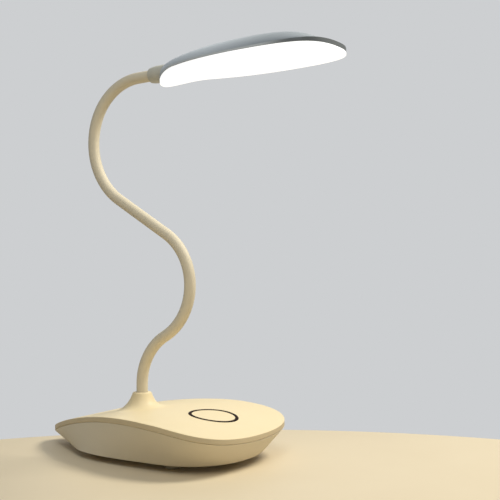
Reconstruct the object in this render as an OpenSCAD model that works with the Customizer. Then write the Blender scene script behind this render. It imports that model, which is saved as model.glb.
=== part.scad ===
// Rechargeable desk lamp: a pebble-shaped base, a flexible neck and a leaf-shaped light head.
// Origin: on the desk, midway between the tail of the base and the tip of the head.
// +X runs towards the tip of the head, +Z is up, and the lamp is symmetric about Y = 0.

/* [Base] */
// Distance from the origin to the front of the base
base_front = 61.5; // [56:0.5:66]
// Distance from the origin to the tail of the base
base_tail = 115.5; // [110:0.5:121]
// Width of the base across its rim
base_w = 115.2; // [108:0.1:122]
// Height of the arched top above the desk
base_h = 32.5; // [31.5:0.1:36]
// Radius of the arch from its crown to the front
arch_front_r = 225; // [215:5:300]
// Radius of the arch from its crown to the tail
arch_tail_r = 300; // [285:5:340]
// Thickness of the top cover
cover_t = 2.5; // [2:0.1:3]
// Wall of the lower bowl
bowl_wall = 2.2; // [1.8:0.1:2.8]
// Height of the rubber feet below the bowl
foot_h = 4.6; // [4:0.1:4.8]
// Diameter of a rubber foot
foot_d = 10; // [8:0.5:10]

/* [Touch control] */
// Distance from the origin to the middle of the touch ring
touch_x = 22.5; // [16:0.5:28]
// Outer diameter of the touch ring
touch_d = 34.2; // [30:0.1:40]
// Width of the ring's black line
touch_line = 2.3; // [1.6:0.1:3]

/* [Neck] */
// Outer diameter of the hose
hose_d = 8; // [7.6:0.1:8.2]
// Distance from the origin back to the foot of the neck
neck_back = 37.6; // [35:0.1:40]
// Height of the moulded cone above the desk
cone_top = 42; // [40:0.5:44]
// Straight length at the foot of the neck
rise = 18; // [15:0.5:24]
// Radius of the first bend, forwards
bend_1_r = 39.5; // [36:0.5:50]
// Angle of the first bend
bend_1_a = 60.5; // [50:0.5:70]
// Radius of the second bend, backwards
bend_2_r = 41; // [36:0.5:50]
// Angle of the second bend
bend_2_a = 119.5; // [110:0.5:125]
// Straight length between the bends
lean = 48.5; // [40:0.5:60]
// Radius of the third bend, forwards
bend_3_r = 48.5; // [40:0.5:60]
// Angle of the third bend
bend_3_a = 76; // [70:1:84]
// Radius of the last bend, forwards
bend_4_r = 42.5; // [38:0.5:50]
// Straight length at the head
lead_in = 22.5; // [20:0.5:24]

/* [Head] */
// Length of the head
head_len = 135; // [128:1:142]
// Width of the head
head_w = 69.7; // [64:0.1:76]
// Height of the head's crown above its rim
head_h = 15.9; // [15:0.1:19]
// Upward tilt of the head
head_tilt = 3; // [0:0.5:6]
// Wall of the head's shell
shell_wall = 1.8; // [1.5:0.1:2.2]
// Thickness of the diffuser
diffuser_t = 1.4; // [1.2:0.1:1.8]
// Number of light chips in each of the two rows
chips = 12; // [8:1:14]

/* [Hidden] */
$fn = 48;
LINKS = 8;

// Colours
ivory = [0.90, 0.86, 0.76];
shade_grey = [0.70, 0.74, 0.78];
black = [0.06, 0.06, 0.07];
steel = [0.62, 0.63, 0.65];
green = [0.10, 0.36, 0.20];
white = [0.97, 0.97, 0.95];
copper = [0.80, 0.50, 0.30];
blue = [0.20, 0.35, 0.65];

// Base
crown_x = -5.5;                // highest line of the arch
lip = 3.5;                     // depth of the cover's rim, which stands on the bowl's wall
seam = 0.15;                   // gap between cover and bowl
steps = 18;                    // outline points in each quarter
floor_z = foot_h + 2;          // upper face of the bowl's floor
pad_z = floor_z + 1.8;           // upper face of the screw pads
pad_r = 5;
post_r = 3.6;                  // screw posts under the cover
foot_sink = 0.8;               // depth of the recess for a foot
foot_spots = [[12, 32.5], [12, -32.5], [35.5, 0], [-61.5, 20], [-61.5, -20]];
screw_r = 1.3;
screw_len = 11;
screw_head_r = 2.7;
screw_head_h = 1.7;
skirt_t = 1.2;                 // rib under the cover that fits inside the bowl
skirt_depth = 2;
// An outline is [front, front fullness, front reach, widest x, half width, tail reach, tail, tail fullness]
rim = [base_front, 67.8, 16, 12, base_w / 2, 16, -base_tail, 24];
sole = [base_front - 10.5, 50, 8, 2, base_w / 2 - 11, 37, 31 - base_tail, 47];
rim_inside = [rim[0] - bowl_wall, 65.5, 16, 12, rim[4] - bowl_wall, 16, rim[6] + 7, 22];
sole_inside = [sole[0] - 3.5, 47, 8, 2, sole[4] - 3.5, 36, sole[6] + 12, 42];
ring_slope = asin((touch_x - crown_x) / arch_front_r);

// Inside the base
ballast_t = 1.8;
ballast_top = floor_z + ballast_t;
board_low = 14;                // underside of the control board
base_board_t = 1.6;
spacer_r = 2.2;
spacer_spots = [[-14.5, -28], [-14.5, 3], [23.5, -26], [28.5, 3]];
cell_r = 9.2;
cell_len = 65;
cradle_floor = 0.5;
cradle_wall = 1.4;
cell_spot = [-41.5, 18, ballast_top + cell_r + cradle_floor];
socket = [9, 3.3, 8];          // width, height and length of the charging socket
socket_at = [-53.5, 37.4, 12.5]; // middle of its outer face
charge_board_t = 1.2;
charge_board_z = socket_at[2] - socket[1] / 2 - charge_board_t;
charge_post_spots = [[-56.5, 27.5], [-49.5, 27.5]];

// The last bend leaves the hose in line with the head
bend_4_a = 90 - bend_1_a + bend_2_a - bend_3_a - head_tilt;
// Neck: each run is [length, turn in degrees, positive to the left seen from -Y]
neck_foot = [-neck_back, 30];
runs = [[rise, 0], [bend_1_r * bend_1_a * PI / 180, -bend_1_a], [bend_2_r * bend_2_a * PI / 180, bend_2_a],
        [lean, 0], [bend_3_r * bend_3_a * PI / 180, -bend_3_a],
        [bend_4_r * bend_4_a * PI / 180, -bend_4_a], [lead_in, 0]];
hose_r = hose_d / 2;
core_r = hose_r - 1;
bore_r = core_r - 1;
lead_r = 0.9;
hose_start = 1.5;
hose_end = run_start(len(runs)) - 0.5;
joint_gap = 2.5;               // clearance of a core on each side of a joint
core_gap = 0.05;               // between the steel hose and its sleeve
stub_r = 2.5;
stub_len = 12;
web_r = stub_r + 0.1;
nut_r = 4.62;                  // across the corners

// Head, in its own frame: x along the head from the end of the neck, z square to its rim
rim_drop = 3.8;                // rim plane below the hose axis
tail_dip = 6.2;                // how far the rim dips at the tail
dip_from = 32;
leaf_tail = 7;
leaf_tip = leaf_tail + head_len;
crown_at = 84;                 // highest point of the crown
back_reach = 106;
front_reach = leaf_tip - crown_at;
band_h = 1.3;                  // upright band above the shell's rim
tip_band = 1.8;                // added to the band towards the tip
edge_h = diffuser_t + band_h;  // height of the head at its edge
leaf = [leaf_tip, 28, 41.6, 90, head_w / 2, 44.8, leaf_tail, 17];
leaf_inside = [leaf_tip - shell_wall, 26, 40, 90, head_w / 2 - shell_wall, 44, leaf_tail + shell_wall, 15.5];
leaf_lens = [leaf_tip - 1.2, 27, 41, 90, head_w / 2 - 0.35, 44.8, leaf_tail + 0.4, 16.5];
leaf_board = [leaf_tip - 22, 18, 26, 90, head_w / 2 - 9, 32, leaf_tail + 20, 10];
leaf_tray = [leaf_tip - 18, 20, 28, 90, head_w / 2 - 6.5, 36, leaf_tail + 17, 12];
tray_t = 1.2;
board_z = 1.5;
board_t = 1.2;
spine_from = 18;
spine_to = 104;
spine_t = 1.6;
boss_r = 2.8;
collar_start = -3;
collar_r = 6.1;
collar_end = 11;
head_screw_r = 0.9;
head_screw_len = 4.2;
head_screw_spots = [[28, 0], [61, 0], [94, 0]];

// ---- shared functions ----

// A point on a cubic curve
function curve(p, t) =
    pow(1 - t, 3) * p[0] + 3 * pow(1 - t, 2) * t * p[1] + 3 * (1 - t) * t * t * p[2] + pow(t, 3) * p[3];

// Half of an outline, from the front point to the tail point
function half(e, n) = concat(
    [for (i = [0 : n - 1]) curve([[e[0], 0], [e[0], e[1]], [e[3] + e[2], e[4]], [e[3], e[4]]], i / n)],
    [for (i = [0 : n]) curve([[e[3], e[4]], [e[3] - e[5], e[4]], [e[6], e[7]], [e[6], 0]], i / n)]);

// The whole outline, symmetric about the x axis
function outline(e, n = steps) =
    let (h = half(e, n), m = len(h))
    concat(h, [for (i = [m - 2 : -1 : 1]) [h[i][0], -h[i][1]]]);

// Height of the base's arched top, or of a surface the given depth inside it
function arch(x, depth = 0) =
    let (r = x > crown_x ? arch_front_r : arch_tail_r)
    base_h - r + sqrt(pow(r - depth, 2) - pow(x - crown_x, 2));

// Two joined rings make a band of triangles; end rings are closed by strips across the outline
module loft(rings) {
    m = len(rings[0]);
    h = m / 2;
    last = (len(rings) - 1) * m;
    sides = [for (k = [0 : len(rings) - 2], i = [0 : m - 1])
        let (a = k * m + i, b = k * m + (i + 1) % m)
        each [[a, b + m, b], [a, a + m, b + m]]];
    lower = [for (i = [1 : h - 2]) each [[i, i + 1, m - i], [i + 1, m - i - 1, m - i]]];
    upper = [for (f = lower) [f[2] + last, f[1] + last, f[0] + last]];
    ends = [[0, 1, m - 1], [h - 1, h, h + 1], [last, last + m - 1, last + 1],
            [last + h - 1, last + h + 1, last + h]];
    polyhedron([for (r = rings) each r], concat(sides, lower, upper, ends));
}

// ---- base ----

// Everything under the arched top, lowered by drop
module under_arch(drop = 0) {
    rotate([90, 0, 0])
        linear_extrude(base_w + 20, center = true) {
            intersection() {
                translate([crown_x, base_h - arch_front_r]) circle(arch_front_r - drop, $fn = 180);
                translate([crown_x, -20]) square([base_front + 60, base_h + 40]);
            }
            intersection() {
                translate([crown_x, base_h - arch_tail_r]) circle(arch_tail_r - drop, $fn = 180);
                translate([crown_x - base_tail - 20, -20]) square([base_tail + 20, base_h + 40]);
            }
        }
}

module at_feet() {
    for (p = foot_spots) translate([p[0], p[1], 0]) children();
}

// The cone's side is one concave curve with a rounded top edge, on a flare that lies along the arch
module neck_cone() {
    side = [for (i = [0 : 14]) curve([[18, 27.6], [11.2, 32], [8.2, 37.6], [6.7, cone_top - 0.7]], i / 14)];
    flare = [for (i = [0 : 8]) curve([[21, -0.3], [16.5, -0.1], [13.2, 0.7], [11.2, 2.8]], i / 8)];
    at_neck(0)
        rotate_extrude($fn = 96)
            polygon(concat([[0, side[0][1]]], side, [[6.5, cone_top - 0.2], [6.1, cone_top], [0, cone_top]]));
    at_neck(arch(-neck_back))
        rotate([0, asin((-neck_back - crown_x) / arch_tail_r), 0])
            rotate_extrude($fn = 96)
                polygon(concat([[0, -1.5], [21, -1.5]], flare, [[0, 2.8]]));
}

module at_neck(z) {
    translate([-neck_back, 0, z]) children();
}

module ring_band() {
    translate([touch_x, 0, arch(touch_x)])
        rotate([0, ring_slope, 0])
            difference() {
                cylinder(r = touch_d / 2, h = 8, center = true, $fn = 96);
                cylinder(r = touch_d / 2 - touch_line, h = 9, center = true, $fn = 96);
            }
}

module cover_skirt() {
    out = rim[4] - 3.8;
    intersection() {
        under_arch(cover_t / 2);
        translate([-75, -base_w / 2, 0]) cube([base_tail + base_front, base_w, base_h]);
        linear_extrude(base_h)
            difference() {
                polygon(outline([rim[0] - 3.8, 64, 16, 12, out, 16, rim[6] + 12, 18]));
                polygon(outline([rim[0] - 3.8 - skirt_t, 63, 16, 12, out - skirt_t, 16, rim[6] + 14, 17]));
            }
    }
}

// The cover's shell: an arched plate with a deeper rim, and the cone on top
module cover_shell() {
    difference() {
        union() {
            intersection() {
                linear_extrude(base_h + 2) polygon(outline(rim));
                under_arch();
            }
            neck_cone();
        }
        under_arch(lip);
        intersection() {
            linear_extrude(base_h + 2) polygon(outline(rim_inside));
            under_arch(cover_t);
        }
    }
}

module base_cover() {
    color(ivory)
    difference() {
        union() {
            cover_shell();
            difference() {
                cover_skirt();
                under_arch(lip + skirt_depth);
            }
            intersection() {
                union() {
                    at_feet() translate([0, 0, pad_z]) cylinder(r = post_r, h = base_h - pad_z);
                    at_neck(25) cylinder(r = 10, h = 10);
                }
                under_arch(cover_t / 2);
            }
        }
        at_feet() translate([0, 0, pad_z - 1]) cylinder(r = screw_r, h = screw_len + 2);
        at_neck(neck_foot[1]) cylinder(r = hose_r + 0.15, h = 20);
        at_neck(20) cylinder(r = web_r, h = 12);
        difference() {
            ring_band();
            under_arch(0.8);
        }
    }
}

module touch_ring() {
    color(black)
    difference() {
        intersection() {
            ring_band();
            under_arch();
        }
        under_arch(0.8);
    }
}

// Share of the way from the rim's outline to the sole's, at share v of the height
function taper(v) = 0.96 * v + 0.04 * (1 - sqrt(1 - v * v));

function bowl_ring(top, bottom, v, low) =
    let (a = outline(top), b = outline(bottom))
    [for (i = [0 : len(a) - 1])
        let (z = arch(a[i][0], lip + seam))
        [each (a[i] + (b[i] - a[i]) * taper(v)), z + (low - z) * v]];

module base_bowl() {
    outer = [for (v = [1, 0.97, 0.9, 0.75, 0.5, 0.25, 0]) bowl_ring(rim, sole, v, foot_h)];
    inner = [for (v = [0, 0.3, 0.6, 0.9, 1]) bowl_ring(rim_inside, sole_inside, v, floor_z)];
    color(ivory * 0.93)
    difference() {
        union() {
            loft(concat(outer, inner));
            at_feet() translate([0, 0, floor_z - 1]) cylinder(r = pad_r, h = pad_z - floor_z + 1);
            for (p = charge_post_spots)
                translate([p[0], p[1], floor_z - 1]) cylinder(r = spacer_r, h = charge_board_z - floor_z + 1);
        }
        at_feet() {
            translate([0, 0, foot_h - 1]) cylinder(d = foot_d, h = foot_sink + 1);
            translate([0, 0, foot_h]) cylinder(r = screw_head_r + 0.2, h = foot_sink + screw_head_h);
            translate([0, 0, foot_h]) cylinder(r = screw_r + 0.3, h = 10);
        }
        translate(socket_at + [0, 9, 0])
            rotate([90, 0, 0]) linear_extrude(18) rounded_slot(socket[0] + 0.8, socket[1] + 0.8, 1.9);
    }
}

module base_feet() {
    color(black)
    at_feet() cylinder(d = foot_d, h = foot_h + foot_sink);
}

module base_screws() {
    color(steel)
    at_feet() translate([0, 0, foot_h + foot_sink])
        difference() {
            union() {
                cylinder(r = screw_head_r, h = screw_head_h);
                cylinder(r = screw_r, h = screw_head_h + screw_len);
            }
            for (a = [0, 90]) rotate(a) cube([3.2, 0.8, 1.8], center = true);
        }
}

// ---- inside the base ----

module at_spacers() {
    for (p = spacer_spots) translate([p[0], p[1], 0]) children();
}

// A steel plate with four riveted spacers for the control board
module ballast_plate() {
    color(steel)
    difference() {
        union() {
            translate([0, 0, floor_z])
                linear_extrude(ballast_t)
                    polygon(outline([sole[0] - 7, 36, 14, 2, sole[4] - 7, 28, sole[6] + 19, 32], 8));
            at_spacers() translate([0, 0, floor_z]) cylinder(r = spacer_r, h = board_low - floor_z);
        }
        at_feet() cylinder(r = pad_r + 0.4, h = 20);
        for (p = charge_post_spots) translate([p[0], p[1], 0]) cylinder(r = spacer_r + 0.4, h = 20);
    }
}

module battery_cradle() {
    color(black)
    translate([cell_spot[0], cell_spot[1], ballast_top])
        difference() {
            translate([-2, -cell_r - cradle_wall, 0]) cube([cell_len + 4, 2 * (cell_r + cradle_wall), 12]);
            translate([-0.2, 0, cell_r + cradle_floor])
                rotate([0, 90, 0]) cylinder(r = cell_r + 0.1, h = cell_len + 0.4);
            for (x = [12, 40]) translate([x, -12, 5]) cube([14, 24, 8]);
        }
}

module battery_cell() {
    color(blue)
    translate(cell_spot)
        rotate([0, 90, 0]) {
            cylinder(r = cell_r, h = cell_len - 1.5);
            cylinder(r = 3, h = cell_len);
        }
}

module control_board() {
    color(green)
    difference() {
        translate([-17.5, -31, board_low]) cube([56, 37, base_board_t]);
        at_feet() translate([0, 0, board_low - 1]) cylinder(r = pad_r, h = 4);
    }
}

module control_chips() {
    color(black)
    translate([4.5, 0, board_low + base_board_t]) {
        translate([-14, -8, 0]) cube([6, 5, 1.6]);
        translate([-2, -14, 0]) cube([5, 4, 1.4]);
        translate([-14, -22, 0]) cylinder(r = 3, h = 4.5);
        translate([-3, -22, 0]) cube([7, 7, 3.2]);
        for (i = [0 : 4]) translate([-16 + i * 4, 2, 0]) cube([2, 1.25, 0.8]);
    }
}

// A coil from the board up to the cover under the touch ring
module touch_spring() {
    turns = 6;
    per_turn = 10;
    wire_r = 0.45;
    coil_r = 4.5;
    low = board_low + base_board_t + wire_r;
    high = arch(touch_x + coil_r) - cover_t - wire_r - 0.15;
    n = turns * per_turn;
    sides = 6;
    pts = [for (i = [0 : n], j = [0 : sides - 1])
        let (a = i * 360 / per_turn, b = j * 360 / sides, r = coil_r + wire_r * cos(b))
        [r * cos(a), r * sin(a), low + (high - low) * i / n + wire_r * sin(b)]];
    walls = [for (i = [0 : n - 1], j = [0 : sides - 1])
        let (a = i * sides + j, b = i * sides + (j + 1) % sides)
        each [[a, b + sides, a + sides], [a, b, b + sides]]];
    caps = [[for (j = [sides - 1 : -1 : 0]) j], [for (j = [0 : sides - 1]) n * sides + j]];
    color(copper)
    translate([touch_x, 0, 0])
        polyhedron(pts, concat(walls, caps));
}

module charge_board() {
    color(green)
    translate([socket_at[0] - 7, 24.2, charge_board_z]) cube([14, 7.3, charge_board_t]);
}

module charge_socket() {
    color(steel)
    translate(socket_at)
        rotate([90, 0, 0])
            difference() {
                linear_extrude(socket[2]) rounded_slot(socket[0], socket[1], 1.6);
                translate([0, 0, -1])
                    linear_extrude(7.5) rounded_slot(socket[0] - 0.7, socket[1] - 0.7, 1.25);
            }
    color(black)
    translate(socket_at + [-3.2, 1 - socket[2], -0.35]) cube([6.4, socket[2] - 2, 0.7]);
}

module rounded_slot(w, h, r) {
    for (s = [-1, 1]) translate([s * (w / 2 - r), 0]) circle(r);
    square([w - 2 * r, h], center = true);
}

// ---- neck ----

// Distance along the neck at which run i starts
function run_start(i) = i == 0 ? 0 : run_start(i - 1) + runs[i - 1][0];
// Heading at the start of run i, from +X towards +Z
function run_heading(i) = i == 0 ? 90 : run_heading(i - 1) + runs[i - 1][1];
// Place [x, z] at distance d into run i
function run_at(i, d) =
    let (p = i == 0 ? neck_foot : run_at(i - 1, runs[i - 1][0]), h = run_heading(i), a = runs[i][1])
    a == 0 ? p + d * [cos(h), sin(h)]
           : let (r = runs[i][0] / (a * PI / 180), g = h + a * d / runs[i][0])
             p + r * [sin(g) - sin(h), cos(h) - cos(g)];

// A stretch of the hose from s0 to s1, with a bore unless r_in is 0
module stretch(s0, s1, r_out, r_in) {
    for (i = [0 : len(runs) - 1]) {
        a = max(s0, run_start(i)) - run_start(i);
        b = min(s1, run_start(i + 1)) - run_start(i);
        if (b - a > 0.01) {
            p = run_at(i, a);
            turn = runs[i][1] * (b - a) / runs[i][0];
            h = run_heading(i) + runs[i][1] * a / runs[i][0];
            translate([p[0], 0, p[1]])
                rotate([0, -h, 0])
                    if (turn == 0)
                        straight(b - a, r_out, r_in);
                    else
                        bent(runs[i][0] / abs(runs[i][1] * PI / 180), turn, r_out, r_in);
        }
    }
}

module straight(length, r_out, r_in) {
    rotate([0, 90, 0])
        difference() {
            cylinder(r = r_out, h = length);
            if (r_in > 0) translate([0, 0, -1]) cylinder(r = r_in, h = length + 2);
        }
}

// Starts at the origin along +X and turns up (positive) or down
module bent(radius, turn, r_out, r_in) {
    up = turn > 0 ? 1 : -1;
    translate([0, 0, up * radius])
        rotate([up > 0 ? -90 : 90, 0, 0])
            rotate([0, 0, up > 0 ? 90 : 90])
                mirror([0, 1, 0])
                    rotate_extrude(angle = abs(turn), $fn = 120)
                        translate([radius, 0])
                            difference() {
                                circle(r_out, $fn = 32);
                                if (r_in > 0) circle(r_in, $fn = 32);
                            }
}

// Distance of joint k along the neck: at the ends of the runs, and halfway round the long second bend
function joint_at(k) = k == 3 ? (run_start(2) + run_start(3)) / 2 : run_start(k > 3 ? k - 1 : k);
function link_from(k, gap) = k == 0 ? hose_start : joint_at(k) + gap;
function link_to(k, gap) = k == LINKS - 1 ? hose_end : joint_at(k + 1) - gap;

module neck_sleeve(k) {
    color(ivory) stretch(link_from(k, 0), link_to(k, 0), hose_r, core_r);
}

module neck_core(k) {
    color(steel) stretch(link_from(k, joint_gap), link_to(k, joint_gap), core_r - core_gap, bore_r);
}

module neck_lead(k) {
    color(black) stretch(link_from(k, 0), link_to(k, 0), lead_r, 0);
}

// A turned end piece: a spigot in the hose, a flange and a stub, along +Z
module end_stub() {
    difference() {
        union() {
            translate([0, 0, hose_start]) cylinder(r = bore_r, h = 7);
            cylinder(r = hose_r, h = hose_start);
            translate([0, 0, -stub_len]) cylinder(r = stub_r, h = stub_len);
        }
        translate([0, 0, -13]) cylinder(r = lead_r + 0.1, h = 30);
    }
}

module hex_nut(height) {
    difference() {
        cylinder(r = nut_r, h = height, $fn = 6);
        translate([0, 0, -1]) cylinder(r = stub_r, h = height + 2);
    }
}

module neck_stub() {
    color(steel) translate([neck_foot[0], 0, neck_foot[1]]) end_stub();
}

module neck_washer() {
    color(steel)
    translate([-neck_back, 0, 24])
        difference() {
            cylinder(r = 8, h = 1);
            translate([0, 0, -1]) cylinder(r = web_r, h = 3);
        }
}

module neck_nut() {
    color(steel) translate([-neck_back, 0, 19.5]) hex_nut(4.5);
}

// ---- head ----

module in_head() {
    p = run_at(len(runs) - 1, runs[len(runs) - 1][0] - 8);
    translate([p[0], 0, p[1]]) rotate([0, -head_tilt, 0]) children();
}

// Height of the rim: a plane that dips under the hose at the tail
function leaf_rim(x) = -rim_drop - (x < dip_from ? tail_dip * pow((dip_from - x) / 27, 2) : 0);

// Height of the edge above the rim plane: it grows towards the tip
function leaf_edge(x) = edge_h + (x > crown_at ? tip_band * pow((x - crown_at) / front_reach, 2) : 0);

// Height of the crown line above the rim plane
function leaf_crown(x) =
    let (u = (x - crown_at) / (x > crown_at ? front_reach : back_reach), e = leaf_edge(x) + 0.2)
    e + (head_h + 0.2 - e) * (1 - u * u);

// Height of the inside of the shell along its crown
function inside_crown(x) = leaf_crown(x) - rim_drop - shell_wall - 0.1;

// Top of a boss under the crown at x
function boss_top(x) = min(inside_crown(x - boss_r), inside_crown(x + boss_r)) - 0.1;

// A ring of the dome: v is 0 at the rim and 1 at the spine; its rim is at the edge's height less sink
function dome_ring(e, v, sink, drop) =
    [for (p = outline(e))
        let (spine = min(max(p[0], 10), 118), x = p[0] + (spine - p[0]) * v, y = p[1] * (1 - v),
             low = leaf_rim(x) + leaf_edge(x) - sink, high = leaf_crown(x) - rim_drop - drop)
        [x, y, low + (high - low) * pow(1 - pow(1 - v, 2.2), 0.72)]];

// An outline of the head at a height above its rim
function rim_ring(e, v, height) = [for (q = dome_ring(e, v, 0, 0)) [q[0], q[1], leaf_rim(q[0]) + height]];

module head_shell() {
    outer = [for (v = [0.95, 0.8, 0.62, 0.45, 0.3, 0.17, 0.07, 0]) dome_ring(leaf, v, 0, 0)];
    inner = [for (v = [0, 0.15, 0.35, 0.6, 0.8, 0.95]) dome_ring(leaf_inside, v, 0.8, shell_wall)];
    lips = [rim_ring(leaf, 0, diffuser_t), rim_ring(leaf_inside, 0, diffuser_t)];
    color(shade_grey)
    in_head()
        difference() {
            loft(concat(outer, lips, inner));
            translate([-2, 0, 0]) rotate([0, 90, 0]) cylinder(r = collar_r + 0.1, h = collar_end + 2.5);
        }
}

// A rib inside the shell that the light board is screwed to
module head_spine() {
    low = board_z + board_t;
    length = spine_to - spine_from;
    color(white * 0.9)
    in_head()
        difference() {
            union() {
                translate([spine_from, -6, low]) cube([length, 12, spine_t]);
                for (s = [-1, 1])
                    translate([spine_from + 8, s * 4.5 - 0.6, low]) cube([length - 16, 1.2, 3]);
                for (p = head_screw_spots)
                    translate([p[0], p[1], low]) cylinder(r = boss_r, h = boss_top(p[0]) - low);
            }
            for (p = head_screw_spots)
                translate([p[0], p[1], board_z]) cylinder(r = head_screw_r, h = head_screw_len + 0.2);
        }
}

module head_collar() {
    in_r = hose_r + 0.05;
    color(shade_grey)
    in_head()
        rotate([0, 90, 0])
            rotate_extrude($fn = 64)
                polygon([[in_r, collar_start], [4.8, collar_start], [5.3, collar_start + 0.5],
                         [5.8, 0], [collar_r, 2.5], [collar_r, collar_end],
                         [web_r, collar_end], [web_r, 9], [in_r, 9]]);
}

module head_diffuser() {
    belly = [for (v = [0.95, 0.7, 0.4, 0.15, 0]) rim_ring(leaf_lens, v, -1.2 * (1 - pow(1 - v, 2)))];
    top = [for (v = [0, 0.4, 0.95]) rim_ring(leaf_lens, v, diffuser_t)];
    color(white)
    in_head()
        loft(concat(belly, top));
}

module head_stub() {
    color(steel)
    in_head() translate([9, 0, 0]) rotate([0, -90, 0]) end_stub();
}

module head_nut() {
    color(steel)
    in_head() translate([collar_end, 0, 0]) rotate([0, 90, 0]) rotate(30) hex_nut(3.5);
}

module light_board() {
    color(white * 0.9)
    in_head()
        difference() {
            translate([0, 0, board_z]) linear_extrude(board_t) polygon(outline(leaf_board, 8));
            for (p = head_screw_spots) translate([p[0], p[1], 0]) cylinder(r = 1.2, h = 20);
        }
}

module light_chips() {
    pitch = 80 / (chips - 1);
    color([0.98, 0.92, 0.55])
    in_head()
        for (i = [0 : chips - 1], s = [-1, 1])
            translate([36 + i * pitch, s * (8 + 8 * sin(180 * i / (chips - 1))), board_z - 0.7])
                translate([-1.75, -1.4, 0]) cube([3.5, 2.8, 0.7]);
}

module light_tray() {
    inside = leaf_tray - tray_t * [1, 0, 0, 0, 1, 0, -1, 0];
    color(white)
    in_head()
        translate([0, 0, diffuser_t - rim_drop])
            linear_extrude(board_z - diffuser_t + rim_drop)
                difference() {
                    polygon(outline(leaf_tray, 10));
                    polygon(outline(inside, 10));
                }
}

module head_screws() {
    color(steel)
    in_head()
        for (p = head_screw_spots) translate([p[0], p[1], board_z]) {
            translate([0, 0, -1.2]) cylinder(r = 2, h = 1.2);
            cylinder(r = head_screw_r, h = head_screw_len);
        }
}

base_cover();
base_bowl();
base_feet();
base_screws();
touch_ring();
touch_spring();
control_board();
control_chips();
charge_board();
charge_socket();
battery_cell();
battery_cradle();
ballast_plate();
neck_stub();
neck_nut();
neck_washer();
for (k = [0 : LINKS - 1]) {
    neck_sleeve(k);
    neck_core(k);
    neck_lead(k);
}
head_collar();
head_shell();
head_diffuser();
head_stub();
head_nut();
light_board();
light_chips();
light_tray();
head_spine();
head_screws();
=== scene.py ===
# Rechargeable desk lamp: pebble base, flexible neck, leaf-shaped light head.
from math import asin, atan2, cos, hypot, pi, radians, sin, sqrt

import bmesh
import bpy
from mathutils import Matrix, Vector


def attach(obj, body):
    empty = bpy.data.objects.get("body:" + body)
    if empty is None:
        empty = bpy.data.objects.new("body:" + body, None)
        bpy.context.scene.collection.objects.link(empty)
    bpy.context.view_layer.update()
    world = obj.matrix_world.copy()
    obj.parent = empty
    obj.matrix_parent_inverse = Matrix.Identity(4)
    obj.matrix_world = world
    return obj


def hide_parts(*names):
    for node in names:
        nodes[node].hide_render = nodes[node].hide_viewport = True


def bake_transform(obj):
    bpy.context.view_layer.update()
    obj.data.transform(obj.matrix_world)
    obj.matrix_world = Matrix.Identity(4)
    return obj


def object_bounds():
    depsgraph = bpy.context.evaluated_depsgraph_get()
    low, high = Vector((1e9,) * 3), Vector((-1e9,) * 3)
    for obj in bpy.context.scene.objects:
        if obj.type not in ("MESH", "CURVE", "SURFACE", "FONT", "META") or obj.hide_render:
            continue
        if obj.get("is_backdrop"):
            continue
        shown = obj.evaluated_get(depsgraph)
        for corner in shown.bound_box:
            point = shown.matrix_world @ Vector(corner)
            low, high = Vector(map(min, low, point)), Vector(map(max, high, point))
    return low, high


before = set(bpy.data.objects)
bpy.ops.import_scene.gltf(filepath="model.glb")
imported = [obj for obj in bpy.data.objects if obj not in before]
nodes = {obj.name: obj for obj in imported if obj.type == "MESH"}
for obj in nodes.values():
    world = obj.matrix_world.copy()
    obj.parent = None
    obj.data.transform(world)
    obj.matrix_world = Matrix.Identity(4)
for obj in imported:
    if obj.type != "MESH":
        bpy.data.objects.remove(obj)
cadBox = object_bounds()
mm = 0.001
print("frame loaded:", len(nodes), "nodes")


# Finishes: each is one material, and its lengths are in mm.

def colour(red, green, blue):  # a screen colour, 0 to 255, as Blender's linear one
    def linear(c):
        c /= 255
        return c / 12.92 if c <= 0.04045 else ((c + 0.055) / 1.055) ** 2.4
    return (linear(red), linear(green), linear(blue), 1)


class Wire:  # a socket that adds Math nodes when it is used in an expression
    def __init__(self, finish, socket):
        self.finish, self.socket = finish, socket

    def math(self, how, *values):
        return self.finish.node("Math", {"operation": how}, dict(enumerate(values)))

    def __add__(self, other): return self.math("ADD", self, other)
    def __radd__(self, other): return self.math("ADD", other, self)
    def __sub__(self, other): return self.math("SUBTRACT", self, other)
    def __rsub__(self, other): return self.math("SUBTRACT", other, self)
    def __mul__(self, other): return self.math("MULTIPLY", self, other)
    def __rmul__(self, other): return self.math("MULTIPLY", other, self)
    def __truediv__(self, other): return self.math("DIVIDE", self, other)
    def __rtruediv__(self, other): return self.math("DIVIDE", other, self)
    def __lt__(self, other): return self.math("LESS_THAN", self, other)
    def __gt__(self, other): return self.math("GREATER_THAN", self, other)


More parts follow.
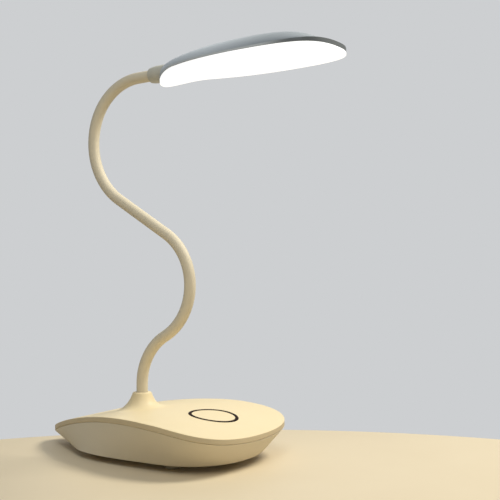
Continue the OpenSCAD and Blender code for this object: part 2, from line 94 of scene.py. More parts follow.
class Finish:  # one material and its nodes
    def __init__(self, name, **fixed):  # fixed: values of the shader that don't vary
        self.material = bpy.data.materials.new(name)
        self.material.use_nodes = True
        self.tree = self.material.node_tree
        self.tree.nodes.clear()
        self.body = self.tree.nodes.new("ShaderNodeBsdfPrincipled")
        end = self.tree.nodes.new("ShaderNodeOutputMaterial")
        self.tree.links.new(self.body.outputs[0], end.inputs[0])
        for key, value in fixed.items():
            self.body.inputs[key.replace("_", " ")].default_value = value

    def node(self, kind, settings=None, values=None, out=0):  # values: numbers or wires
        made = self.tree.nodes.new("ShaderNode" + kind)
        for key, value in (settings or {}).items():
            if key == "stops":  # a ramp's two places and colours, eased from one to the other
                made.color_ramp.interpolation = "EASE"
                for stop, (place, shade) in zip(made.color_ramp.elements, value):
                    stop.position, stop.color = place, shade
            else:
                setattr(made, key, value)
        for key, value in (values or {}).items():
            if isinstance(value, Wire):
                self.tree.links.new(value.socket, made.inputs[key])
            else:
                made.inputs[key].default_value = value
        return Wire(self, made.outputs[out])

    def feed(self, name, value):
        self.tree.links.new(value.socket, self.body.inputs[name])

    def place(self, stretch=(1, 1, 1)):  # object coordinates, in metres
        where = self.node("TexCoord", out=3)
        return self.node("Mapping", {}, {"Vector": where, "Scale": stretch})

    def noise(self, per, detail=2, stretch=(1, 1, 1), rough=0.5):  # per: the size of one lump
        return self.node("TexNoise", {}, {"Vector": self.place(stretch), "Scale": 1000 / per,
                                          "Detail": detail, "Roughness": rough})

    def cells(self, feature, perMetre, loose):  # a grid of cells, more or less regular
        return self.node("TexVoronoi", {"feature": feature},
                         {"Vector": self.place(), "Scale": perMetre, "Randomness": loose})

    def drift(self):  # slow change of tone over a moulded surface
        return self.noise(per=38, detail=3)

    def marks(self):  # finger marks, longer across than up
        return self.noise(per=9, detail=4, stretch=(1, 1, 2.4), rough=0.62)

    def mix(self, share, first, second):
        return self.node("Mix", {"data_type": "RGBA"}, {0: share, 6: first, 7: second}, out=2)

    def bump(self, height, depth):
        return self.node("Bump", {}, {"Height": height, "Distance": depth * mm})


def moulded(name, main, deep, roughness, grain=0.35, depth=0.02, **fixed):
    # plastic from a mould: fine spark grain, slow drift of tone and a few finger marks
    f = Finish(name, **fixed)
    drift, speck, marks = f.drift(), f.noise(per=grain, rough=0.7), f.marks()
    f.feed("Base Color", f.mix(drift * 0.7 + speck * 0.15, main, deep))
    f.feed("Roughness", roughness - 0.05 + marks * 0.16 + speck * 0.04)
    f.feed("Normal", f.bump(speck + drift * 0.6, depth))
    return f.material


def metal(name, main, deep, roughness=0.3, stretch=(1, 1, 12), per=0.8):
    # brushed or plated: hair lines, level as they stand, over a slow cloud
    f = Finish(name, Metallic=1.0)
    lines = f.noise(per, detail=3, stretch=stretch, rough=0.6)
    cloud = f.noise(per=7)
    f.feed("Base Color", f.mix(cloud, main, deep))
    f.feed("Roughness", roughness + lines * 0.18 + cloud * 0.06)
    f.feed("Normal", f.bump(lines, depth=0.015))
    return f.material


def rubbery(name, main, deep, roughness, depth=0.03):
    # silicone or rubber: dull, with dust-like mottling
    f = Finish(name)
    dust = f.noise(per=5, detail=5, rough=0.68)
    speck = f.noise(per=0.25, detail=3, rough=0.75)
    f.feed("Base Color", f.mix(dust * 0.8 + speck * 0.2, main, deep))
    f.feed("Roughness", roughness + dust * 0.14 - speck * 0.05)
    f.feed("Normal", f.bump(speck * 0.7 + dust * 0.3, depth))
    return f.material


def solderMask(name, mask, track, roughness=0.3):
    # a board's lacquer, with tracks between cells and tinned dots
    f = Finish(name, Specular_IOR_Level=0.55)
    line = f.cells("DISTANCE_TO_EDGE", perMetre=320, loose=0.35) < 0.035
    pad = f.cells("F1", perMetre=260, loose=0.2) < 0.12
    f.feed("Base Color", f.mix(pad, f.mix(line, mask, track), colour(196, 190, 176)))
    f.feed("Roughness", roughness + pad * 0.15 + f.noise(per=2) * 0.08)
    f.feed("Normal", f.bump(line * 0.5 + pad * 0.5, depth=0.03))
    return f.material


def shrinkFilm(name, main, deep):  # a cell's glossy film, with stretch marks along it
    f = Finish(name, Coat_Weight=0.5, Coat_Roughness=0.12)
    bands = f.noise(per=3, detail=3, stretch=(0.25, 1, 1), rough=0.6)
    f.feed("Base Color", f.mix(bands, main, deep))
    f.feed("Roughness", 0.26 + bands * 0.14)
    f.feed("Normal", f.bump(bands, depth=0.05))
    return f.material


def phosphor(name, main, deep):  # a light chip's yellow gel, faintly lit
    f = Finish(name, Emission_Strength=0.6)
    gel = f.noise(per=0.6, detail=3, rough=0.7)
    f.feed("Base Color", f.mix(gel, main, deep))
    f.feed("Emission Color", f.mix(gel, colour(255, 244, 214), colour(255, 232, 180)))
    f.feed("Roughness", 0.3 + gel * 0.2)
    return f.material


def milkyLight(name, main, deep):  # the lit diffuser: milk-white with a slow cloud
    f = Finish(name, Emission_Strength=0.82)
    milk, fine = f.noise(per=22, detail=3), f.noise(per=0.5, rough=0.7)
    f.feed("Base Color", f.mix(milk, main, deep))
    f.feed("Emission Color", f.mix(milk, (1.0, 0.995, 0.985, 1), (0.97, 0.97, 0.97, 1)))
    f.feed("Roughness", 0.5 + fine * 0.1)
    f.feed("Normal", f.bump(fine, depth=0.008))
    return f.material


headReach = 0.1  # metres from the lamp's middle to about the head's tip


def paintedShadeGrey(name, *stops):  # satin grey with painted shade, darker towards the head's tip; stops: share of headReach
    f = Finish(name, Specular_IOR_Level=0.28)
    along = f.node("SeparateXYZ", {}, {"Vector": f.place()})
    away = f.node("Math", {"operation": "ABSOLUTE"}, {0: along}) / headReach
    speck, marks = f.noise(per=0.35, rough=0.7), f.marks()
    # painted shade: the grey darkens as the distance along X grows towards the tip
    shade = f.node("ValToRGB", {"stops": stops}, {"Fac": away})
    f.feed("Base Color", f.mix(speck * 0.15 + f.drift() * 0.1, shade, colour(158, 165, 170)))
    f.feed("Roughness", 0.46 + marks * 0.16 + speck * 0.04)
    f.feed("Normal", f.bump(speck, depth=0.006))
    return f.material


finishes = {  # name, main and deeper colour, then roughness and what else differs
    "cover": moulded("cover cream", colour(245, 227, 183), colour(240, 220, 174), 0.46, depth=0.01),
    # painted shade: the bowl's cream is darker and greyer than the cover's, for the shade on the
    # base's side
    "bowl": moulded("bowl cream with painted shade", colour(222, 212, 188), colour(215, 204, 179), 0.5, depth=0.012),
    # painted shade: the cover's upright band is the cover's cream made darker
    "rim": moulded("rim cream in painted shade", colour(208, 191, 155), colour(201, 184, 148), 0.5, depth=0.012),
    "hose": rubbery("neck silicone", colour(228, 217, 190), colour(220, 208, 180), 0.55, 0.005),
    "collar": moulded("collar cream grey", colour(200, 197, 181), colour(193, 190, 174), 0.45,
                      depth=0.01),
    "ring": moulded("ring black", colour(44, 28, 21), colour(32, 21, 16), 0.6, grain=0.2,
                    depth=0.006, Specular_IOR_Level=0.04),
    "foot": rubbery("foot rubber", colour(176, 164, 138), colour(160, 149, 125), 0.7, 0.04),
    "steel": metal("plated steel", colour(186, 187, 190), colour(160, 162, 166)),
    "hoseSteel": metal("hose steel", colour(150, 151, 156), colour(120, 121, 127), 0.34),
    "zinc": metal("ballast zinc", colour(168, 171, 176), colour(140, 143, 149), 0.42, (1, 1, 1),
                  per=4.5),
    "copper": metal("spring copper", colour(214, 146, 98), colour(176, 110, 70), 0.26, (1, 1, 4)),
    "lead": rubbery("lead black", colour(24, 24, 26), colour(34, 34, 36), 0.5),
    "chip": moulded("chip black", colour(30, 31, 33), colour(22, 23, 25), 0.5, grain=0.12,
                    depth=0.01),
    "cradle": moulded("cradle black", colour(36, 36, 38), colour(26, 26, 28), 0.48),
    "tray": moulded("tray white", colour(240, 240, 236), colour(232, 232, 227), 0.5),
    "greenBoard": solderMask("base board", colour(24, 92, 52), colour(46, 122, 74)),
    "whiteBoard": solderMask("light board", colour(232, 232, 228), colour(214, 214, 208), 0.34),
    "cell": shrinkFilm("cell wrap", colour(44, 92, 168), colour(32, 72, 140)),
    "phosphor": phosphor("light chip", colour(250, 226, 120), colour(240, 206, 92)),
    "diffuser": milkyLight("diffuser light", colour(232, 233, 232), colour(226, 227, 227)),
    # painted shade: the shell's grey darkens from the tail towards the tip
    "shell": paintedShadeGrey("head grey painted shade", (0.25, colour(198, 205, 209)), (0.97, colour(146, 153, 157))),
    # painted shade: the shell's upright edge band turns dark grey near the tip
    "shellEdgePaintedShade": paintedShadeGrey("head edge painted shade", (0.76, colour(204, 210, 213)),
                          (0.99, colour(92, 96, 97))),
}

nodeFinish = {
    "base_cover": "cover", "base_bowl": "bowl", "base_feet": "foot", "base_screws": "steel",
    "touch_ring": "ring", "touch_spring": "copper", "control_board": "greenBoard",
    "control_chips": "chip", "charge_board": "greenBoard", "charge_socket": "steel",
    "battery_cell": "cell", "battery_cradle": "cradle", "ballast_plate": "zinc",
    "neck_stub": "steel", "neck_nut": "steel", "neck_washer": "steel", "head_collar": "collar",
    "head_shell": "shell", "head_diffuser": "diffuser", "head_stub": "steel",
    "head_nut": "steel", "light_board": "whiteBoard", "light_chips": "phosphor",
    "light_tray": "tray", "head_spine": "tray", "head_screws": "steel",
}
neckFinish = {"neck_sleeve": "hose", "neck_core": "hoseSteel", "neck_lead": "lead"}
for name, node in nodes.items():
    kind = nodeFinish.get(name) or neckFinish[name[:-2]]  # neck_core_3 is a neck_core
    node.data.materials.clear()
    node.data.materials.append(finishes[kind])
print("finishes ready:", len(finishes))


# What the pieces are made with. Outlines and heights are in mm until metres() is called.

weld = 2e-6      # metres; points nearer than this are merged
smallest = 1e-5  # metres; a smaller difference counts as none
crease = 32      # degrees; a sharper edge stays crisp


def alone(piece):  # only this piece selected and active
    if bpy.context.mode != "OBJECT":
        bpy.ops.object.mode_set(mode="OBJECT")
    bpy.ops.object.select_all(action="DESELECT")
    piece.select_set(True)
    bpy.context.view_layer.objects.active = piece


def editMode(piece, kind):  # kind: what is selected there, VERT or EDGE
    alone(piece)
    bpy.ops.object.mode_set(mode="EDIT")
    bpy.ops.mesh.select_mode(type=kind)


def fixPlace():  # the selected piece's place and size go into its mesh
    bpy.ops.object.transform_apply(location=True, rotation=True, scale=True)


def modify(piece, kind, **settings):  # a modifier that is applied at once
    bpy.ops.object.modifier_add(type=kind)
    made = piece.modifiers[-1]
    for key, value in settings.items():
        setattr(made, key, value)
    bpy.ops.object.modifier_apply(modifier=made.name)


def finishPiece(piece, finish, angle):
    # doubles merged, open ends filled, faces turned outwards, soft shading with crisp edges
    editMode(piece, "VERT")
    bpy.ops.mesh.select_all(action="SELECT")
    bpy.ops.mesh.remove_doubles(threshold=weld)
    bpy.ops.mesh.select_all(action="DESELECT")
    bpy.ops.mesh.select_non_manifold(extend=False, use_wire=False, use_multi_face=False,
                                     use_non_contiguous=False, use_verts=False)
    bpy.ops.mesh.edge_face_add()
    bpy.ops.mesh.select_all(action="SELECT")
    bpy.ops.mesh.normals_make_consistent(inside=False)
    bpy.ops.object.mode_set(mode="OBJECT")
    fixPlace()
    bpy.ops.object.shade_smooth_by_angle(angle=radians(angle))
    piece.data.materials.clear()
    piece.data.materials.append(finishes[finish])


def growRings(name, rings, finish, angle=crease):
    # a circle laid on the first outline, then extruded from outline to outline
    bpy.ops.object.select_all(action="DESELECT")
    bpy.ops.mesh.primitive_circle_add(vertices=len(rings[0]))
    piece = bpy.context.object
    piece.name = name
    editMode(piece, "EDGE")
    bpy.ops.mesh.select_all(action="SELECT")
    mesh = bmesh.from_edit_mesh(piece.data)
    mesh.verts.ensure_lookup_table()
    line = list(range(len(rings[0])))
    for i, point in zip(line, rings[0]):
        mesh.verts[i].co = point
    for ring in rings[1:]:
        count = len(mesh.verts)
        bpy.ops.mesh.extrude_edges_move()
        mesh = bmesh.from_edit_mesh(piece.data)
        mesh.verts.ensure_lookup_table()
        mesh.verts.index_update()
        ends = [[e.other_vert(mesh.verts[i]).index for e in mesh.verts[i].link_edges] for i in line]
        line = [max(e) for e in ends]  # each point's newest neighbour is on the new outline
        assert min(line) >= count
        for i, point in zip(line, ring):
            mesh.verts[i].co = point
    bmesh.update_edit_mesh(piece.data)
    finishPiece(piece, finish, angle)
    return piece


def touchUp(piece, finish, pick):  # another finish on the faces that pick chooses
    piece.data.materials.append(finishes[finish])
    for face in piece.data.polygons:
        if pick(face.center / mm, face.normal):
            face.material_index = len(piece.data.materials) - 1


def settle(piece, body, slot, *stood):  # hides the parts it stands for and puts it in its body
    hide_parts(*stood)
    if body:
        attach(piece, body)


def held(value, low, high):  # kept between two limits
    return min(max(value, low), high)


def curve(a, b, c, d, t):  # the point at t on the curve from a to d that b and c pull
    s = 1 - t
    return tuple(s ** 3 * p + 3 * s * s * t * q + 3 * s * t * t * r + t ** 3 * u
                 for p, q, r, u in zip(a, b, c, d))


def outline(shape, steps=44):
    # a closed egg about the X axis: its ends in x, its widest place and half its width, and
    # how full and how long the curves to each end are
    front, frontFull, frontReach, widest, half, tailReach, tail, tailFull = shape

    def fore(i):
        t = 1 - cos(pi * i / 2 / steps)
        return curve((front, 0), (front, frontFull), (widest + frontReach, half), (widest, half), t)

    def aft(i):
        t = sin(pi * i / 2 / steps)
        return curve((widest, half), (widest - tailReach, half), (tail, tailFull), (tail, 0), t)
    left = [fore(i) for i in range(steps)] + [aft(i) for i in range(steps + 1)]
    return left + [(x, -y) for x, y in reversed(left[1:-1])]


def inset(line, distance):  # the outline drawn in by a distance
    made = []
    for i, (x, y) in enumerate(line):
        (ax, ay), (bx, by) = line[i - 1], line[(i + 1) % len(line)]
        dx, dy = bx - ax, by - ay
        size = sqrt(dx * dx + dy * dy)
        made.append((x - dy / size * distance, y + dx / size * distance))
    return made


def metres(points):
    return [Vector(p) * mm for p in points]


# Camera, light and floor, in metres and watts.

cameraSetup = {"place": (0.3843, -0.5543, 0.1422), "heading": 31.0, "lens": 70.56, "sensor": 36,
               "nearest": 0.01}
bpy.ops.object.camera_add(location=cameraSetup["place"],
                          rotation=(pi / 2, 0, radians(cameraSetup["heading"])))
camera = bpy.context.object
camera.data.lens = cameraSetup["lens"]
camera.data.sensor_width = cameraSetup["sensor"]
camera.data.clip_start = cameraSetup["nearest"]
bpy.context.scene.camera = camera

lightSetup = {
    "aim": (0.0, 0, 0.08),
    "lamps": {  # place, size, power and colour; each faces the aim
        "key": ((0.48, 0.48, 0.90), 0.4, 9.0, (1.0, 0.955, 0.86)),
        "above": ((0.30, -0.45, 0.85), 0.6, 2.8, (0.97, 0.985, 1.0)),
        "behind": ((-0.5, 0.8, 0.6), 0.8, 0.8, (0.97, 0.98, 1.0)),
    },
    "world": 0.19, "worldTint": (0.9, 0.95, 1.0, 1), "backdrop": colour(205, 207, 209),
}
for name, (place, size, power, tint) in lightSetup["lamps"].items():
    bpy.ops.object.light_add(type="AREA", location=place)
    lamp = bpy.context.object
    lamp.name = "light." + name
    lamp.data.shape = "DISK"
    lamp.data.size = size
    lamp.data.energy = power
    lamp.data.color = tint
    towards = Vector(lightSetup["aim"]) - Vector(place)
    lamp.rotation_euler = towards.to_track_quat("-Z", "Y").to_euler()

world = bpy.data.worlds.new("studio")
bpy.context.scene.world = world
world.use_nodes = True
tree = world.node_tree
tree.nodes.clear()
lit = tree.nodes.new("ShaderNodeBackground")  # what lights the lamp
lit.inputs["Color"].default_value = lightSetup["worldTint"]
lit.inputs["Strength"].default_value = lightSetup["world"]
seen = tree.nodes.new("ShaderNodeBackground")  # what is seen behind it
seen.inputs["Color"].default_value = lightSetup["backdrop"]
rays = tree.nodes.new("ShaderNodeLightPath")
shown = rays.outputs["Is Camera Ray"]
for ray in ("Is Glossy Ray", "Is Transmission Ray"):  # metal and glass show the backdrop too
    most = tree.nodes.new("ShaderNodeMath")
    most.operation = "MAXIMUM"
    tree.links.new(shown, most.inputs[0])
    tree.links.new(rays.outputs[ray], most.inputs[1])
    shown = most.outputs[0]
either = tree.nodes.new("ShaderNodeMixShader")
tree.links.new(shown, either.inputs[0])
tree.links.new(lit.outputs[0], either.inputs[1])
tree.links.new(seen.outputs[0], either.inputs[2])
sky = tree.nodes.new("ShaderNodeOutputWorld")
tree.links.new(either.outputs[0], sky.inputs[0])

floorSize = {"radius": 0.46, "middle": (0.2195, -0.28), "thick": 0.02, "round": 0.004,
             "sides": 160, "segments": 4, "crease": 30,
             "main": colour(230, 215, 184), "deep": colour(225, 209, 177)}
bpy.ops.mesh.primitive_cylinder_add(
    vertices=floorSize["sides"], radius=floorSize["radius"], depth=floorSize["thick"],
    location=(*floorSize["middle"], -floorSize["thick"] / 2))
floor = bpy.context.object
floor.name = "floor"
alone(floor)
fixPlace()
modify(floor, "BEVEL", width=floorSize["round"], segments=floorSize["segments"],
       limit_method="ANGLE")
bpy.ops.object.shade_smooth_by_angle(angle=radians(floorSize["crease"]))
floorFinish = Finish("floor", Roughness=0.6, Specular_IOR_Level=0.3)
clouds = floorFinish.noise(per=60, detail=3)
floorFinish.feed("Base Color", floorFinish.mix(clouds, floorSize["main"], floorSize["deep"]))
floor.data.materials.append(floorFinish.material)
floor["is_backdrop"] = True
bpy.context.scene.view_settings.view_transform = "Standard"
print("camera, light and floor ready")


# Base: cover, bowl, ring and feet.

baseSize = {
    "rim": (61.5, 67.8, 16, 12, 57.6, 16, -115.5, 24),  # outline of the cover's edge
    "height": 32.5, "crown": -5.5, "front": 225, "tail": 300,  # the top's arch and its two radii
    "lip": 3.5,  # the cover's thickness at its edge
}


def arch(x, depth=0.0):  # height of the top, or of a surface inside it
    r = baseSize["front"] if x > baseSize["crown"] else baseSize["tail"]
    return baseSize["height"] - r + sqrt((r - depth) ** 2 - (x - baseSize["crown"]) ** 2)


def onTop(line, drop=0.0):  # the line laid on the arch, or under it
    return [(x, y, arch(x) - drop) for x, y in line]


def between(first, last, share):  # a line part of the way from one to another
    return [(a + (c - a) * share, b + (d - b) * share) for (a, b), (c, d) in zip(first, last)]


coneSize = {  # the cone that carries the neck
    "x": -37.6, "top": 42.0, "bore": 4.12, "spread": 18.5, "level": 8,
    "side": ((6.7, 41.3), (8.2, 37.6), (10.7, 31.0), (18.5, 30.7)),  # radius and height
    "shoulder": ((5.9, 0), (6.3, 0.14), (6.58, 0.4)),  # radius and drop round its top
    "bevel": 0.25, "rings": 22,
}
coverSize = {
    "round": 0.45, "bevel": 0.2,  # its edge, above and below
    "inside": 3,                  # how far the underside keeps from the edge and from the bore
    "upright": 0.5,               # a face whose normal rises less is the side of the rim
    "topRings": 15, "edgeRings": 6, "underRings": 6,
}
rimLine = outline(baseSize["rim"])
turns = [atan2(y, x - coneSize["x"]) for x, y in rimLine]  # each rim point's bearing


def around(radius):  # a circle about the cone, with a point for each of the rim's
    return [(coneSize["x"] + radius * cos(a), radius * sin(a)) for a in turns]


def coneHeight(radius, x):  # the cone stands level at its top and lies on the arch at its foot
    low, high = 0.0, 1.0
    for _ in range(30):  # halved until the curve's radius is met
        middle = (low + high) / 2
        if curve(*coneSize["side"], middle)[0] < radius:
            low = middle
        else:
            high = middle
    level = curve(*coneSize["side"], low)[1]
    foot = coneSize["side"][-1][1]
    share = held((coneSize["spread"] - radius) / (coneSize["spread"] - coneSize["level"]), 0, 1)
    share = share * share * (3 - 2 * share)
    return level * share + (arch(x) + level - foot) * (1 - share)


def coverRings():
    bore, top, bevel = coneSize["bore"], coneSize["top"], coneSize["bevel"]
    mouth = [(bore, top - bevel), (bore + bevel, top)]
    mouth += [(radius, top - drop) for radius, drop in coneSize["shoulder"]]
    rings = [[(x, y, z) for x, y in around(radius)] for radius, z in mouth]
    count = coneSize["rings"]
    for i in range(count + 1):
        radius = curve(*coneSize["side"], i / count)[0]
        rings.append([(x, y, coneHeight(radius, x)) for x, y in around(radius)])
    count, edge = coverSize["topRings"], coverSize["round"]
    for i in range(1, count + 1):
        rings.append(onTop(between(around(coneSize["spread"]), inset(rimLine, edge), i / count)))
    count = coverSize["edgeRings"]
    for i in range(1, count + 1):
        a = pi / 2 * i / count
        rings.append(onTop(inset(rimLine, edge - edge * sin(a)), edge - edge * cos(a)))
    lip, bevel, inside = baseSize["lip"], coverSize["bevel"], coverSize["inside"]
    rings.append(onTop(rimLine, lip - bevel))
    rings.append(onTop(inset(rimLine, bevel), lip))
    count = coverSize["underRings"]
    for i in range(count + 1):
        rings.append(onTop(between(inset(rimLine, inside), around(bore + inside), i / count), lip))
    rings.append(onTop(around(bore), lip))
    rings.append(rings[0])
    return rings


def onRimSide(centre, normal):  # the upright band round the cover
    away = hypot(centre.x - coneSize["x"], centre.y)
    return abs(normal.z) < coverSize["upright"] and away > coneSize["spread"]


cover = growRings("coverPiece", [metres(r) for r in coverRings()], "cover")
# painted shade on the upright band round the cover's edge
touchUp(cover, "rim", onRimSide)
settle(cover, "base", "cover_ivory", "base_cover")

bowlSize = {
    "sole": (51, 50, 8, 2, 46.6, 37, -84.5, 47),  # outline of its underside
    "rimInside": (59.3, 65.5, 16, 12, 55.4, 16, -108.5, 22),
    "soleInside": (47.5, 47, 8, 2, 43.1, 36, -72.5, 42),
    "seam": 0.15, "low": 4.6, "bed": 6.6,  # gap under the cover, underside, floor inside
    "full": 0.04, "tailFull": 0.7, "tailFrom": -60, "tailOver": 40,  # its side is rounder there
    "sideRings": 22, "lastRing": 0.9995, "insideRings": (0.995, 0.85, 0.6, 0.3, 0),
    "soleInsets": (0.4, 2, 8), "soleShares": (0.5, 0.2, 0.05), "middle": -24,
}


def bowlLine(top, bottom, share, low):  # share is 0 at the rim and 1 at the sole
    made = []
    for (x, y), (u, v) in zip(outline(top), outline(bottom)):
        high = arch(x, baseSize["lip"] + bowlSize["seam"])
        tail = held((bowlSize["tailFrom"] - x) / bowlSize["tailOver"], 0, 1)
        full = bowlSize["full"] + bowlSize["tailFull"] * tail
        taper = (1 - full) * share + full * (1 - sqrt(1 - share * share))
        made.append((x + (u - x) * taper, y + (v - y) * taper, high + (low - high) * share))
    return made


def shrunk(line, share, height):  # towards the middle of the bowl
    middle = bowlSize["middle"] * (1 - share)
    return [(x * share + middle, y * share, height) for x, y in line]


def bowlRings():
    low, bed, under = bowlSize["low"], bowlSize["bed"], outline(bowlSize["sole"])
    rings = [shrunk(outline(bowlSize["soleInside"]), bowlSize["soleShares"][-1], bed)]
    for share in bowlSize["insideRings"]:
        rings.append(bowlLine(bowlSize["rimInside"], bowlSize["soleInside"], share, bed))
    for i in range(bowlSize["sideRings"] + 1):
        share = min(sin(pi / 2 * i / bowlSize["sideRings"]), bowlSize["lastRing"])
        rings.append(bowlLine(baseSize["rim"], bowlSize["sole"], share, low))
    rings += [[(x, y, low) for x, y in inset(under, d)] for d in bowlSize["soleInsets"]]
    rings += [shrunk(under, share, low) for share in bowlSize["soleShares"]]
    return rings


bowl = growRings("bowlPiece", [metres(r) for r in bowlRings()], "bowl")

slotSize = {"place": (-53.5, 37.4, 12.5), "size": (9.9, 18, 4.2), "round": 2.0, "segments": 8}
bpy.ops.object.select_all(action="DESELECT")
bpy.ops.mesh.primitive_cube_add(size=1, location=Vector(slotSize["place"]) * mm)
cutter = bpy.context.object  # cuts the opening for the charging inlet
cutter.scale = Vector(slotSize["size"]) * mm
alone(cutter)
fixPlace()
editMode(cutter, "EDGE")
bpy.ops.mesh.select_all(action="DESELECT")
mesh = bmesh.from_edit_mesh(cutter.data)
for edge in mesh.edges:
    a, b = (v.co for v in edge.verts)
    if abs(a.x - b.x) < smallest and abs(a.z - b.z) < smallest:
        edge.select = True
bmesh.update_edit_mesh(cutter.data)
bpy.ops.mesh.bevel(offset=slotSize["round"] * mm, segments=slotSize["segments"], affect="EDGES")
alone(bowl)
modify(bowl, "BOOLEAN", object=cutter, operation="DIFFERENCE")
bpy.data.objects.remove(cutter)
settle(bowl, "base", "bowl_ivory", "base_bowl")

ringSize = {"x": 22.5, "outer": 17.1, "inner": 14.8, "proud": 0.3, "deep": 0.8, "round": 0.22,
            "roundMiddle": 0.3, "sides": 144, "crease": 50}  # roundMiddle: a share of round
slope = asin((ringSize["x"] - baseSize["crown"]) / baseSize["front"])


def ringLine(radius, lift):
    made = []
    for i in range(ringSize["sides"]):
        a = 2 * pi * i / ringSize["sides"]
        x = ringSize["x"] + radius * cos(a) * cos(slope)
        made.append((x, radius * sin(a), arch(x) + lift))
    return made


def ringSection():  # radius and height over the cover's top, once round
    inner, outer, edge = ringSize["inner"], ringSize["outer"], ringSize["round"]
    top, low = ringSize["proud"], -ringSize["deep"]
    cut = edge * ringSize["roundMiddle"]
    return [(inner, low), (inner, top - edge), (inner + cut, top - cut), (inner + edge, top),
            (outer - edge, top), (outer - cut, top - cut), (outer, top - edge), (outer, low),
            (inner, low)]


ring = growRings("ringPiece", [metres(ringLine(r, z)) for r, z in ringSection()], "ring",
                 ringSize["crease"])
settle(ring, "base", "ring_black", "touch_ring")

footSize = {"radius": 5, "height": 5.4, "round": 0.7, "sides": 48, "segments": 4, "crease": 30,
            "spots": ((12, 32.5), (12, -32.5), (35.5, 0), (-61.5, 20), (-61.5, -20))}
feet = []
for x, y in footSize["spots"]:
    bpy.ops.object.select_all(action="DESELECT")
    bpy.ops.mesh.primitive_cylinder_add(
        vertices=footSize["sides"], radius=footSize["radius"] * mm,
        depth=footSize["height"] * mm, location=(x * mm, y * mm, footSize["height"] / 2 * mm))
    foot = bpy.context.object
    fixPlace()
    modify(foot, "BEVEL", width=footSize["round"] * mm, segments=footSize["segments"])
    feet.append(foot)
alone(feet[0])
for foot in feet:
    foot.select_set(True)
bpy.ops.object.join()
feet[0].name = "feetPiece"
finishPiece(feet[0], "foot", footSize["crease"])
settle(feet[0], "base", "foot_rubber", "base_feet")
print("base ready")


# Neck: one smooth hose in seven lengths, each reaching across one joint.

neckSize = {
    "radius": 4.0, "sides": 40, "step": 1.2, "start": (-37.6, 30.0), "heading": 90.0,
    "runs": ((18, 0), (39.5, -60.5), (41, 119.5), (48.5, 0), (48.5, -76), (42.5, -70),
             (22.5, 0)),  # a straight run's length and 0, or a bend's radius and turn
    "joints": (18, 59.71, 102.47, 145.22, 193.72, 258.05, 309.98),
    "from": 1.5, "to": 332.0,           # where the skin starts and ends
    "stiffFrom": 12, "stiffTo": 319.5,  # outside these it keeps straight in its fittings
}


def neckPoint(s):  # place and heading at a distance along the neck
    (x, z), h = neckSize["start"], radians(neckSize["heading"])
    for size, turn in neckSize["runs"]:
        length = size if turn == 0 else size * radians(abs(turn))
        d = min(s, length)
        if turn == 0:
            x, z = x + d * cos(h), z + d * sin(h)
        else:
            side = 1 if turn > 0 else -1
            g = h + side * d / size
            x, z = x + side * size * (sin(g) - sin(h)), z + side * size * (cos(h) - cos(g))
            h = g
        s -= d
    return x, z, h


def hoseRing(s):
    x, z, h = neckPoint(s)
    radius, sides = neckSize["radius"], neckSize["sides"]
    made = []
    for i in range(sides):
        a = 2 * pi * i / sides
        up, side = radius * cos(a), radius * sin(a)
        made.append((x - up * sin(h), side, z + up * cos(h)))
    return made


joints = neckSize["joints"]
cuts = [neckSize["from"], *((a + b) / 2 for a, b in zip(joints, joints[1:])), neckSize["to"]]
bodies = ["base"] + ["neck_link_%d" % k for k in range(1, 7)] + ["head"]
for k, (first, last) in enumerate(zip(cuts, cuts[1:])):
    count = round((last - first) / neckSize["step"])
    rings = [metres(hoseRing(first + (last - first) * i / count)) for i in range(count + 1)]
    hose = growRings("hosePiece%d" % (k + 1), rings, "hose")
    lengths = (0, 1) if k == 0 else (k + 1,)  # the CAD has eight, cut at the joints
    stood = ["neck_%s_%d" % (part, n) for part in ("sleeve", "core", "lead") for n in lengths]
    settle(hose, None, "silicone_sleeve", *stood)
    for s in (max(first, neckSize["stiffFrom"]), min(last, neckSize["stiffTo"])):
        x, z, _ = neckPoint(s)
    bodies[k + 1]
    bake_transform(hose)
print("neck ready")


# Head: shell and diffuser, in a frame of their own that starts in the collar.

headSize = {
    "end": 332.48, "back": 8.0, "tilt": 3.0,  # how far along the neck it starts, and its tilt
    "tip": 142, "tail": 7, "half": 34.85, "widest": 90,
    "height": 15.4, "crown": 84, "reach": 106, "tipFall": 3, "tailFall": 2,  # line of the spine
    "spine": (10, 118), "least": 0.2, "dome": (2.2, 0.72),  # its ends, least rise and section
    "rimDrop": 3.8, "dip": 6.2, "dipFrom": 32, "dipOver": 27,  # the rim dips towards the collar
    "diffuser": 1.4, "band": 1.3, "tipBand": 1.8,  # what shows of the diffuser and of the edge
}
headStart = neckPoint(headSize["end"] - headSize["back"])[:2]


def leafShape(shrink, tipFull, tipReach, tailReach, tailFull):  # the leaf, drawn in by shrink
    h = headSize
    return (h["tip"] - shrink, tipFull, tipReach, h["widest"], h["half"] - shrink, tailReach,
            h["tail"] + shrink, tailFull)


def inHead(points):  # from the head's own frame to the lamp's
    a = radians(headSize["tilt"])
    return metres([(headStart[0] + x * cos(a) - z * sin(a), y,
                    headStart[1] + x * sin(a) + z * cos(a)) for x, y, z in points])


def leafRim(x):
    dip = (headSize["dipFrom"] - x) / headSize["dipOver"]
    return -headSize["rimDrop"] - (headSize["dip"] * dip ** 2 if dip > 0 else 0)


def leafEdge(x):  # height of the edge above the rim, more towards the tip
    h = headSize
    late = (x - h["crown"]) / (h["tip"] - h["crown"])
    return h["diffuser"] + h["band"] + (h["tipBand"] * late * late if late > 0 else 0)


def leafCrown(x):  # height of the spine
    h = headSize
    far, fall = (h["tip"] - h["crown"], "tipFall") if x > h["crown"] else (h["reach"], "tailFall")
    low = leafEdge(x) + h["least"]
    rise = 1 - abs((x - h["crown"]) / far) ** h[fall]
    return low + (h["height"] + h["least"] - low) * rise


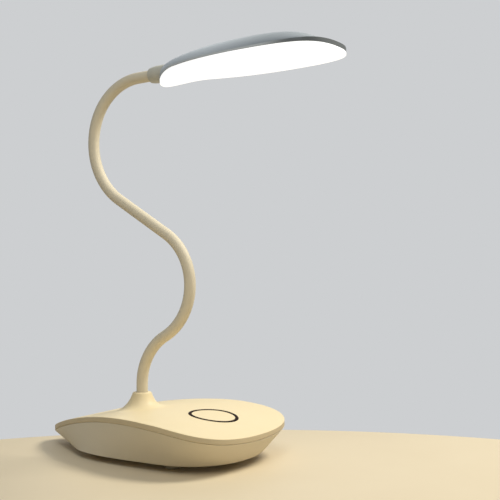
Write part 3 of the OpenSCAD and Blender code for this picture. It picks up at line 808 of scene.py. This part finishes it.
def domeLine(shape, v, sink, drop):  # v is 0 at the edge and 1 at the spine
    steep, blunt = headSize["dome"]
    made = []
    for x, y in outline(shape):
        px, py = x + (held(x, *headSize["spine"]) - x) * v, y * (1 - v)
        low = leafRim(px) + leafEdge(px) - sink
        high = leafCrown(px) - headSize["rimDrop"] - drop
        made.append((px, py, low + (high - low) * (1 - (1 - v) ** steep) ** blunt))
    return made


def flatLine(shape, v, height):  # the same lines at a height above the rim
    return [(x, y, leafRim(x) + height) for x, y, z in domeLine(shape, v, 0, 0)]


shellSize = {
    "wall": 1.8, "lip": 0.25, "sink": 0.8,  # sink: how far the inside starts under the edge
    "upright": 0.25,  # a face whose normal rises less is the band over the diffuser
    "rings": 30, "packing": 1.7, "insideRings": (0, 0.05, 0.15, 0.3, 0.5, 0.75, 1),
    "outside": (28, 41.6, 44.8, 17), "inside": (26, 40, 44, 15.5),  # fullness and reach of ends
}


def shellRings():
    wall, lip, base = shellSize["wall"], shellSize["lip"], headSize["diffuser"]
    outside, inside = leafShape(0, *shellSize["outside"]), leafShape(wall, *shellSize["inside"])
    count = shellSize["rings"]
    steps = [(i / count) ** shellSize["packing"] for i in range(count + 1)]
    rings = [domeLine(outside, v, 0, 0) for v in reversed(steps)]
    edge = flatLine(outside, 0, base)
    drawnIn = inset([(x, y) for x, y, z in edge], lip)
    rings.append(flatLine(outside, 0, base + lip))
    rings.append([(x, y, point[2]) for (x, y), point in zip(drawnIn, edge)])
    rings.append(flatLine(inside, 0, base))
    for v in shellSize["insideRings"]:
        rings.append(domeLine(inside, v, shellSize["sink"], wall))
    return rings


shell = growRings("shellPiece", [inHead(r) for r in shellRings()], "shell")
# painted shade on the shell's upright band over the diffuser, dark near the tip
touchUp(shell, "shellEdgePaintedShade", lambda centre, normal: abs(normal.z) < shellSize["upright"])
settle(shell, "head", "shell_grey", "head_shell")

lensSize = {
    "gap": 0.1, "outside": (27.8, 41.5, 44.8, 16.5), "belly": 1.2,
    "rings": 14, "packing": 1.5, "topRings": (0, 0.4, 1),
}


def lensRings():
    shape, count = leafShape(lensSize["gap"], *lensSize["outside"]), lensSize["rings"]
    rings = []
    for i in range(count + 1):
        v = (1 - i / count) ** lensSize["packing"]
        rings.append(flatLine(shape, v, -lensSize["belly"] * (1 - (1 - v) ** 2)))
    return rings + [flatLine(shape, v, headSize["diffuser"]) for v in lensSize["topRings"]]


lens = growRings("diffuserPiece", [inHead(r) for r in lensRings()], "diffuser")
settle(lens, "head", "diffuser_white", "head_diffuser")
print("head ready")

size = {"cad": [list(v) for v in cadBox], "visual": [list(v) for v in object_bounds()]}
